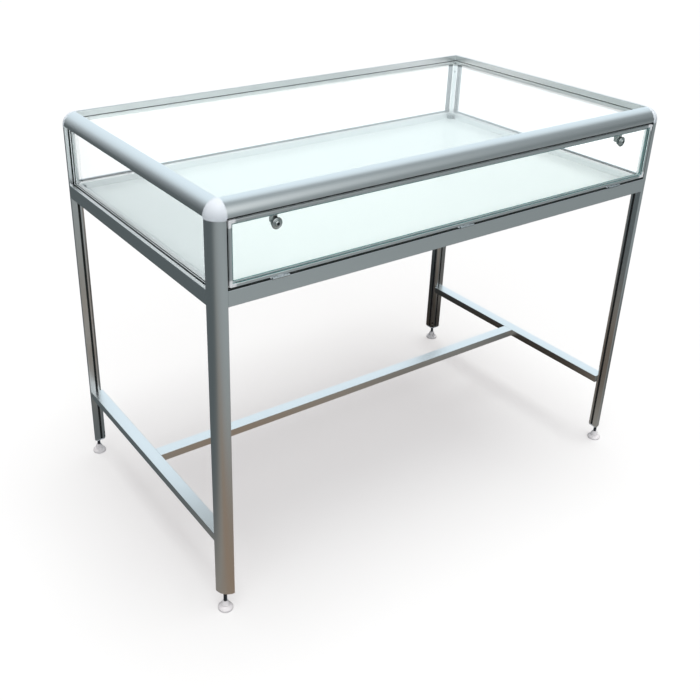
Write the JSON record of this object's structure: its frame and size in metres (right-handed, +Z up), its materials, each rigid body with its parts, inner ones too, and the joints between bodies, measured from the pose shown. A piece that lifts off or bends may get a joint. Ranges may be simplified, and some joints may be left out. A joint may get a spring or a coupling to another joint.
{
  "type": "glass display table",
  "caption": "Long table with a shallow glass show case on top, round-edged aluminium frame, hinged glass front flap with locks, H-brace and levelling feet.",
  "frame": {"origin": "on the floor, below the middle of the overall box", "axes": "+X to the right along the long side, +Y from the flap to the back, +Z up"},
  "size_m": [1.205, 0.7126, 0.925],
  "materials": {
    "anodised_aluminium": "silver satin anodised",
    "glass": "clear float glass with a faint green tint",
    "gasket_rubber": "dark glazing rubber",
    "white_plastic": "white moulded plastic",
    "pad_plastic": "white moulded plastic",
    "stem_steel": "dark zinc-plated steel",
    "white_panel": "white laminated board",
    "grey_plastic": "light grey plastic",
    "chrome": "chrome-plated",
    "steel": "zinc-plated steel"
  },
  "bodies": {
    "table": {"base_panel": "white_panel", "brace_left": "anodised_aluminium", "brace_middle": "anodised_aluminium", "brace_right": "anodised_aluminium", "corner_brackets": "anodised_aluminium", "corner_caps": "white_plastic", "gasket_left": "gasket_rubber", "gasket_rear": "gasket_rubber", "gasket_right": "gasket_rubber", "gasket_top": "gasket_rubber", "glass_left": "glass", "glass_rear": "glass", "glass_right": "glass", "glass_top": "glass", "hinge_leaves_frame": "steel", "leg_plugs": "white_plastic", "post_fl": "anodised_aluminium", "post_fr": "anodised_aluminium", "post_rl": "anodised_aluminium", "post_rr": "anodised_aluminium", "shelf_rail_front": "anodised_aluminium", "shelf_rail_left": "anodised_aluminium", "shelf_rail_rear": "anodised_aluminium", "shelf_rail_right": "anodised_aluminium", "top_rail_front": "anodised_aluminium", "top_rail_left": "anodised_aluminium", "top_rail_rear": "anodised_aluminium", "top_rail_right": "anodised_aluminium"},
    "flap": {"flap_glass": "glass", "flap_strip_top": "anodised_aluminium", "flap_strip_bottom": "anodised_aluminium", "flap_strip_left": "anodised_aluminium", "flap_strip_right": "anodised_aluminium", "flap_corners": "grey_plastic", "hinge_leaves_flap": "steel", "lock_bodies": "chrome", "lock_cases": "steel"},
    "lock_left": {"lock_plug_left": "chrome"},
    "latch_left": {"lock_latch_left": "steel"},
    "lock_right": {"lock_plug_right": "chrome"},
    "latch_right": {"lock_latch_right": "steel"},
    "foot_fl": {"levelling_foot_fl": "pad_plastic"},
    "foot_fr": {"levelling_foot_fr": "pad_plastic"},
    "foot_rr": {"levelling_foot_rr": "pad_plastic"},
    "foot_rl": {"levelling_foot_rl": "pad_plastic"}
  },
  "joints": [
    {"name": "flap_hinge", "type": "hinge", "parent": "table", "child": "flap", "pos_m": [0, -0.3538, 0.75975], "axis": [1, 0, 0], "range_deg": [0, 180]},
    {"name": "lock_turn_left", "type": "hinge", "parent": "flap", "child": "lock_left", "pos_m": [-0.466, -0.3462, 0.8645], "axis": [0, -1, 0], "range_deg": [0, 90]},
    {"name": "latch_slide_left", "type": "slide", "parent": "flap", "child": "latch_left", "axis": [0, 0, 1], "range_m": [0, 0.009]},
    {"name": "lock_turn_right", "type": "hinge", "parent": "flap", "child": "lock_right", "pos_m": [0.466, -0.3462, 0.8645], "axis": [0, 1, 0], "range_deg": [0, 90]},
    {"name": "latch_slide_right", "type": "slide", "parent": "flap", "child": "latch_right", "axis": [0, 0, 1], "range_m": [0, 0.009]},
    {"name": "foot_screw_fl", "type": "slide", "parent": "table", "child": "foot_fl", "axis": [0, 0, -1], "range_m": [-0.018, 0.015]},
    {"name": "foot_screw_fr", "type": "slide", "parent": "table", "child": "foot_fr", "axis": [0, 0, -1], "range_m": [-0.018, 0.015]},
    {"name": "foot_screw_rr", "type": "slide", "parent": "table", "child": "foot_rr", "axis": [0, 0, -1], "range_m": [-0.018, 0.015]},
    {"name": "foot_screw_rl", "type": "slide", "parent": "table", "child": "foot_rl", "axis": [0, 0, -1], "range_m": [-0.018, 0.015]}
  ],
  "couplings": [
    {"joint": "latch_slide_left", "follows": "lock_turn_left", "m_per_rad": 0.0057296},
    {"joint": "latch_slide_right", "follows": "lock_turn_right", "m_per_rad": 0.0057296}
  ]
}
